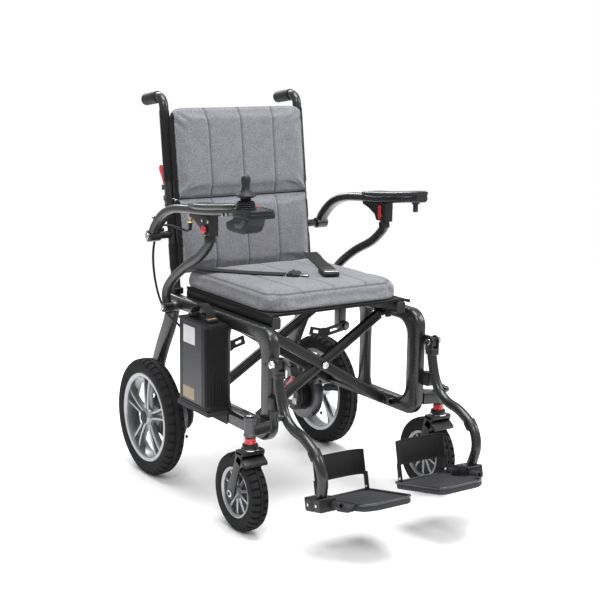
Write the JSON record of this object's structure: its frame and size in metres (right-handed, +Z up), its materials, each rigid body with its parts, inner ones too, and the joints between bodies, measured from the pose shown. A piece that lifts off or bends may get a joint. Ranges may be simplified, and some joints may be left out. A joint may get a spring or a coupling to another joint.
{
  "type": "folding power wheelchair",
  "caption": "Folding power wheelchair with a carbon X-frame, driven rear wheels, swivelling casters, hinged back, lifting armrests, flip-up footplates and a joystick.",
  "frame": {"origin": "on the floor at the middle of the chair's bounding box", "axes": "+Z up, -Y the way the chair faces, +X towards the user's left side"},
  "size_m": [0.627, 0.9857, 1.0018],
  "materials": {
    "carbon": "glossy twill weave under clear coat",
    "motor_metal": "satin black",
    "grey_metal": "dark anodised",
    "rim": "satin silver",
    "tyre": "dark grey",
    "grip": "dark grey, matt",
    "cushion": "grey melange weave",
    "webbing": "black woven",
    "black_metal": "black anodised",
    "red": "red",
    "black_plastic": "black",
    "battery": "dark grey metallic",
    "steel": "bright",
    "boot": "black",
    "cable": "black"
  },
  "bodies": {
    "right_side": {"side_frame_right": "carbon", "rear_strut_right": "carbon", "motor_bracket_right": "grey_metal", "motor_right": "motor_metal", "back_post_right": "carbon", "arm_link_right": "carbon", "battery_dock": "black_plastic", "joystick_cable": "cable", "back_cushion_lower": "cushion"},
    "left_side": {"side_frame_left": "carbon", "rear_strut_left": "carbon", "motor_bracket_left": "grey_metal", "motor_left": "motor_metal", "back_post_left": "carbon", "arm_link_left": "carbon"},
    "upper_back_right": {"upper_post_right": "carbon", "push_grip_right": "grip", "back_cushion_upper": "cushion"},
    "upper_back_left": {"upper_post_left": "carbon", "push_grip_left": "grip"},
    "back_latch": {"back_latch": "red"},
    "brace_a": {"brace_a": "black_metal"},
    "brace_b": {"brace_b": "black_metal"},
    "seat_rail_right": {"seat_rail_right": "black_metal", "seat_cushion": "cushion", "seat_sling": "webbing", "lap_belt_right": "webbing", "lap_belt_left": "webbing", "belt_buckle": "black_plastic"},
    "seat_rail_left": {"seat_rail_left": "black_metal"},
    "arm_rest_right": {"arm_rest_right": "carbon", "joystick_housing": "black_plastic", "joystick_boot": "boot"},
    "arm_rest_left": {"arm_rest_left": "carbon"},
    "joystick_gimbal": {"joystick_gimbal": "steel"},
    "joystick_stick": {"joystick_stick": "black_plastic"},
    "battery": {"battery_case": "battery", "battery_handle": "webbing"},
    "rear_wheel_right": {"rear_rim_right": "rim", "rear_tyre_right": "tyre"},
    "caster_fork_right": {"caster_fork_right": "black_metal"},
    "caster_wheel_right": {"caster_rim_right": "rim", "caster_tyre_right": "tyre"},
    "clutch_lever_right": {"clutch_lever_right": "red"},
    "arm_button_right": {"arm_button_right": "red"},
    "hanger_right": {"hanger_right": "carbon"},
    "footplate_right": {"footplate_right": "black_plastic", "calf_strap_right": "webbing"},
    "guide_link_right": {"guide_link_right": "black_plastic"},
    "rear_wheel_left": {"rear_rim_left": "rim", "rear_tyre_left": "tyre"},
    "caster_fork_left": {"caster_fork_left": "black_metal"},
    "caster_wheel_left": {"caster_rim_left": "rim", "caster_tyre_left": "tyre"},
    "clutch_lever_left": {"clutch_lever_left": "red"},
    "arm_button_left": {"arm_button_left": "red"},
    "hanger_left": {"hanger_left": "carbon"},
    "footplate_left": {"footplate_left": "black_plastic", "calf_strap_left": "webbing"},
    "guide_link_left": {"guide_link_left": "black_plastic"}
  },
  "joints": [
    {"name": "fold", "type": "hinge", "parent": "right_side", "child": "brace_b", "pos_m": [-0.188, 0.05714, 0.234], "axis": [0, -1, 0], "range_deg": [0, 35], "deforming": ["seat_cushion", "seat_sling", "back_cushion_lower", "back_cushion_upper", "lap_belt_right", "lap_belt_left", "belt_buckle"]},
    {"name": "brace_cross", "type": "hinge", "parent": "brace_b", "child": "brace_a", "pos_m": [0, 0.05714, 0.34923], "axis": [0, 1, 0], "range_deg": [0, 70.5]},
    {"name": "side_shift", "type": "hinge", "parent": "brace_a", "child": "left_side", "pos_m": [0.188, 0.05714, 0.234], "axis": [0, -1, 0], "range_deg": [0, 35.5]},
    {"name": "rail_level_right", "type": "hinge", "parent": "brace_a", "child": "seat_rail_right", "pos_m": [-0.184, 0.05714, 0.462], "axis": [0, -1, 0], "range_deg": [0, 35.5]},
    {"name": "rail_level_left", "type": "hinge", "parent": "brace_b", "child": "seat_rail_left", "pos_m": [0.184, 0.05714, 0.462], "axis": [0, 1, 0], "range_deg": [0, 35.5]},
    {"name": "back_fold", "type": "hinge", "parent": "right_side", "child": "upper_back_right", "pos_m": [-0.205, 0.36729, 0.727], "axis": [-1, 0, 0], "range_deg": [0, 130]},
    {"name": "back_fold_left", "type": "hinge", "parent": "left_side", "child": "upper_back_left", "pos_m": [0.205, 0.36729, 0.727], "axis": [-1, 0, 0], "range_deg": [0, 130.5]},
    {"name": "back_latch_turn", "type": "hinge", "parent": "upper_back_right", "child": "back_latch", "pos_m": [-0.205, 0.37323, 0.75456], "axis": [-1, 0, 0], "range_deg": [0, 25], "stiffness_Nm_per_rad": 0.6},
    {"name": "joystick_pitch", "type": "hinge", "parent": "arm_rest_right", "child": "joystick_gimbal", "pos_m": [-0.262, -0.12186, 0.757], "axis": [1, 0, 0], "range_deg": [-18, 18], "stiffness_Nm_per_rad": 0.3, "deforming": ["joystick_boot"]},
    {"name": "joystick_roll", "type": "hinge", "parent": "joystick_gimbal", "child": "joystick_stick", "pos_m": [-0.262, -0.12186, 0.757], "axis": [0, 1, 0], "range_deg": [-18, 18], "stiffness_Nm_per_rad": 0.3, "deforming": ["joystick_boot"]},
    {"name": "battery_lift", "type": "slide", "parent": "right_side", "child": "battery", "axis": [0, 0, 1], "range_m": [0, 0.07]},
    {"name": "wheel_spin_right", "type": "hinge", "parent": "right_side", "child": "rear_wheel_right", "pos_m": [-0.273, 0.33814, 0.155], "axis": [1, 0, 0], "continuous": true},
    {"name": "caster_turn_right", "type": "hinge", "parent": "right_side", "child": "caster_fork_right", "pos_m": [-0.279, -0.17686, 0.2], "axis": [0, 0, 1], "continuous": true},
    {"name": "caster_spin_right", "type": "hinge", "parent": "caster_fork_right", "child": "caster_wheel_right", "pos_m": [-0.279, -0.13886, 0.095], "axis": [1, 0, 0], "continuous": true},
    {"name": "clutch_turn_right", "type": "hinge", "parent": "right_side", "child": "clutch_lever_right", "pos_m": [-0.165, 0.33814, 0.181], "axis": [1, 0, 0], "range_deg": [0, 60]},
    {"name": "arm_lift_right", "type": "hinge", "parent": "right_side", "child": "arm_rest_right", "pos_m": [-0.26, 0.33883, 0.636], "axis": [-1, 0, 0], "range_deg": [0, 80], "deforming": ["joystick_cable"]},
    {"name": "arm_button_push_right", "type": "slide", "parent": "arm_rest_right", "child": "arm_button_right", "axis": [1, 0, 0], "range_m": [0, 0.0035], "stiffness_N_per_m": 600},
    {"name": "hanger_lift_right", "type": "hinge", "parent": "right_side", "child": "hanger_right", "pos_m": [-0.225, -0.20986, 0.412], "axis": [-1, 0, 0], "range_deg": [0, 60]},
    {"name": "footplate_flip_right", "type": "hinge", "parent": "hanger_right", "child": "footplate_right", "pos_m": [-0.2, -0.37386, 0.124], "axis": [0, -0.9781, 0.2079], "range_deg": [0, 90.5], "deforming": ["calf_strap_right"]},
    {"name": "guide_link_turn_right", "type": "hinge", "parent": "right_side", "child": "guide_link_right", "pos_m": [-0.214, 0.14714, 0.383], "axis": [0, -1, 0], "range_deg": [0, 67]},
    {"name": "wheel_spin_left", "type": "hinge", "parent": "left_side", "child": "rear_wheel_left", "pos_m": [0.273, 0.33814, 0.155], "axis": [1, 0, 0], "continuous": true},
    {"name": "caster_turn_left", "type": "hinge", "parent": "left_side", "child": "caster_fork_left", "pos_m": [0.279, -0.17686, 0.2], "axis": [0, 0, 1], "continuous": true},
    {"name": "caster_spin_left", "type": "hinge", "parent": "caster_fork_left", "child": "caster_wheel_left", "pos_m": [0.279, -0.13886, 0.095], "axis": [1, 0, 0], "continuous": true},
    {"name": "clutch_turn_left", "type": "hinge", "parent": "left_side", "child": "clutch_lever_left", "pos_m": [0.165, 0.33814, 0.181], "axis": [1, 0, 0], "range_deg": [0, 60]},
    {"name": "arm_lift_left", "type": "hinge", "parent": "left_side", "child": "arm_rest_left", "pos_m": [0.26, 0.33883, 0.636], "axis": [-1, 0, 0], "range_deg": [0, 80]},
    {"name": "arm_button_push_left", "type": "slide", "parent": "arm_rest_left", "child": "arm_button_left", "axis": [-1, 0, 0], "range_m": [0, 0.0035], "stiffness_N_per_m": 600},
    {"name": "hanger_lift_left", "type": "hinge", "parent": "left_side", "child": "hanger_left", "pos_m": [0.225, -0.20986, 0.412], "axis": [-1, 0, 0], "range_deg": [0, 60]},
    {"name": "footplate_flip_left", "type": "hinge", "parent": "hanger_left", "child": "footplate_left", "pos_m": [0.2, -0.37386, 0.124], "axis": [0, 0.9781, -0.2079], "range_deg": [0, 90.5], "deforming": ["calf_strap_left"]},
    {"name": "guide_link_turn_left", "type": "hinge", "parent": "left_side", "child": "guide_link_left", "pos_m": [0.214, 0.14714, 0.383], "axis": [0, 1, 0], "range_deg": [0, 67]}
  ],
  "couplings": [
    {"joint": "brace_cross", "follows": "fold", "ratio": 2},
    {"joint": "side_shift", "follows": "fold", "ratio": 1},
    {"joint": "rail_level_right", "follows": "fold", "ratio": 1},
    {"joint": "rail_level_left", "follows": "fold", "ratio": 1},
    {"joint": "guide_link_turn_right", "follows": "fold", "ratio": 1.9},
    {"joint": "guide_link_turn_left", "follows": "fold", "ratio": 1.9},
    {"joint": "footplate_flip_right", "follows": "fold", "ratio": 2.5714},
    {"joint": "footplate_flip_left", "follows": "fold", "ratio": 2.5714},
    {"joint": "back_fold_left", "follows": "back_fold", "ratio": 1}
  ]
}
